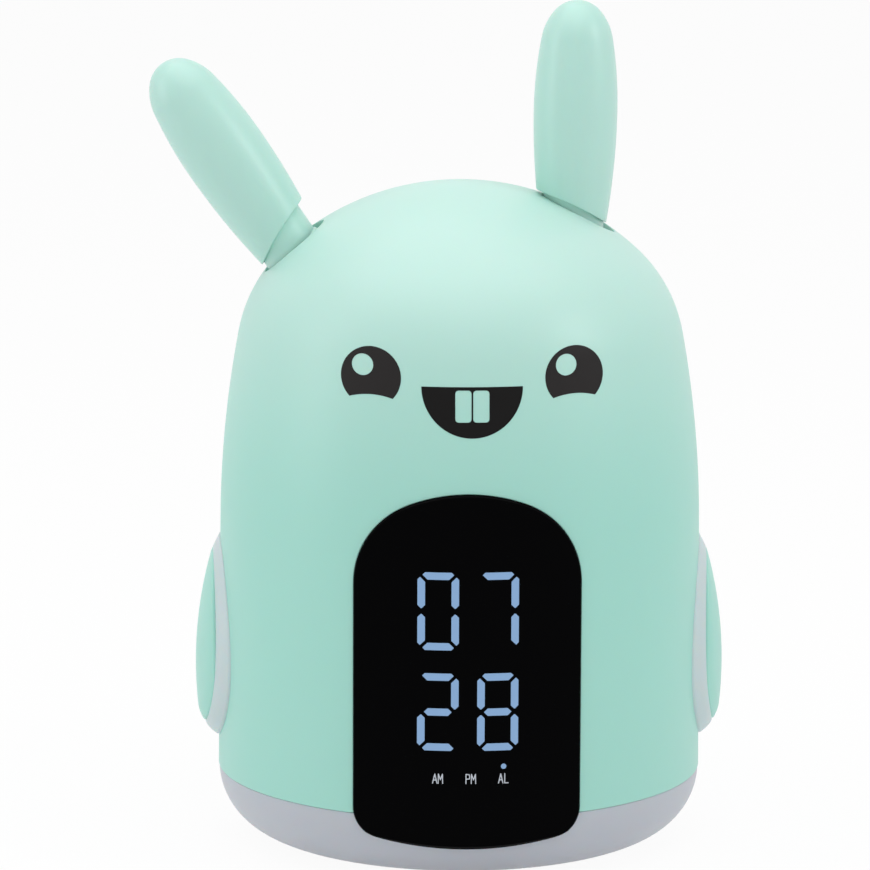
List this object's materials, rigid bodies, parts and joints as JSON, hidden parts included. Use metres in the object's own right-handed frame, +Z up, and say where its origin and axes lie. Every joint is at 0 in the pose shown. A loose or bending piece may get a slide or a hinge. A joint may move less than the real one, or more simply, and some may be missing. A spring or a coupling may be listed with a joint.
{
  "type": "alarm clock with night light",
  "caption": "Domed upright bedside clock for a child, with a printed animal face, tilting ears, a tall dark display window, a glowing base and pressable side pads.",
  "frame": {"origin": "on the vertical axis of the round body, in the plane on which the four feet stand", "axes": "+Z up along the body's axis; -Y is the side with the face and the display; +X is the viewer's right when the face is seen"},
  "size_m": [0.144, 0.1232, 0.211],
  "materials": {
    "mint_shell": "satin, moulded through",
    "white_diffuser": "translucent milky white",
    "window_black": "polished dark window",
    "printed_ink": "pad-printed ink",
    "circuit_board": "solder mask",
    "bright_steel": "plated",
    "lit_segment": "lit segment",
    "legend_white": "lit legend",
    "dark_plastic": "moulded",
    "rubber_grey": "matt",
    "cell_jacket": "plain jacket",
    "led_white": "lamp body",
    "cone_paper": "pressed paper",
    "magnet_iron": "ground"
  },
  "bodies": {
    "clock_body": {"body_shell": "mint_shell", "base_diffuser": "white_diffuser", "rubber_feet": "rubber_grey", "base_screws": "bright_steel", "battery_box": "white_diffuser", "battery_contacts": "bright_steel", "backup_cells": "cell_jacket", "battery_door": "white_diffuser", "battery_door_screw": "bright_steel", "light_ring_board": "circuit_board", "light_ring_leds": "led_white", "display_lens": "window_black", "display_figures": "lit_segment", "display_legends": "legend_white", "display_block": "dark_plastic", "display_board": "circuit_board", "main_board": "circuit_board", "main_board_parts": "dark_plastic", "rear_key_switches": "bright_steel", "usb_board": "circuit_board", "usb_socket": "bright_steel", "board_screws": "bright_steel", "rear_panel": "white_diffuser", "speaker_basket": "dark_plastic", "speaker_cone": "cone_paper", "speaker_magnet": "magnet_iron", "eye_print": "printed_ink", "mouth_print": "printed_ink", "right_ear_pin": "bright_steel", "right_ear_washers": "bright_steel", "left_ear_pin": "bright_steel", "left_ear_washers": "bright_steel", "right_light_plate": "white_diffuser", "right_switch_board": "circuit_board", "right_switch": "dark_plastic", "right_plate_leds": "led_white", "left_light_plate": "white_diffuser", "left_switch_board": "circuit_board", "left_switch": "dark_plastic", "left_plate_leds": "led_white"},
    "right_ear_body": {"right_ear": "mint_shell", "right_ear_neck": "mint_shell"},
    "left_ear_body": {"left_ear": "mint_shell", "left_ear_neck": "mint_shell"},
    "right_button_body": {"right_button": "mint_shell", "right_button_clip": "bright_steel"},
    "left_button_body": {"left_button": "mint_shell", "left_button_clip": "bright_steel"},
    "light_key_body": {"light_key": "mint_shell"},
    "alarm_key_body": {"alarm_key": "mint_shell"},
    "mode_key_body": {"mode_key": "mint_shell"},
    "up_key_body": {"up_key": "mint_shell"},
    "down_key_body": {"down_key": "mint_shell"}
  },
  "joints": [
    {"name": "right_ear_tilt", "type": "hinge", "parent": "clock_body", "child": "right_ear_body", "pos_m": [0.03276, 0, 0.14707], "axis": [0, 1, 0], "range_deg": [0, 14]},
    {"name": "left_ear_tilt", "type": "hinge", "parent": "clock_body", "child": "left_ear_body", "pos_m": [-0.04206, 0, 0.13977], "axis": [0, 1, 0], "range_deg": [0, 14]},
    {"name": "right_button_press", "type": "slide", "parent": "clock_body", "child": "right_button_body", "axis": [-1, 0, 0], "range_m": [0, 0.001], "stiffness_N_per_m": 800, "springref_m": -0.001},
    {"name": "left_button_press", "type": "slide", "parent": "clock_body", "child": "left_button_body", "axis": [1, 0, 0], "range_m": [0, 0.001], "stiffness_N_per_m": 800, "springref_m": -0.001},
    {"name": "light_key_press", "type": "slide", "parent": "clock_body", "child": "light_key_body", "axis": [0, -1, 0], "range_m": [0, 0.001], "stiffness_N_per_m": 700, "springref_m": -0.001},
    {"name": "alarm_key_press", "type": "slide", "parent": "clock_body", "child": "alarm_key_body", "axis": [0, -1, 0], "range_m": [0, 0.001], "stiffness_N_per_m": 700, "springref_m": -0.001},
    {"name": "mode_key_press", "type": "slide", "parent": "clock_body", "child": "mode_key_body", "axis": [0, -1, 0], "range_m": [0, 0.001], "stiffness_N_per_m": 700, "springref_m": -0.001},
    {"name": "up_key_press", "type": "slide", "parent": "clock_body", "child": "up_key_body", "axis": [0, -1, 0], "range_m": [0, 0.001], "stiffness_N_per_m": 700, "springref_m": -0.001},
    {"name": "down_key_press", "type": "slide", "parent": "clock_body", "child": "down_key_body", "axis": [0, -1, 0], "range_m": [0, 0.001], "stiffness_N_per_m": 700, "springref_m": -0.001}
  ]
}
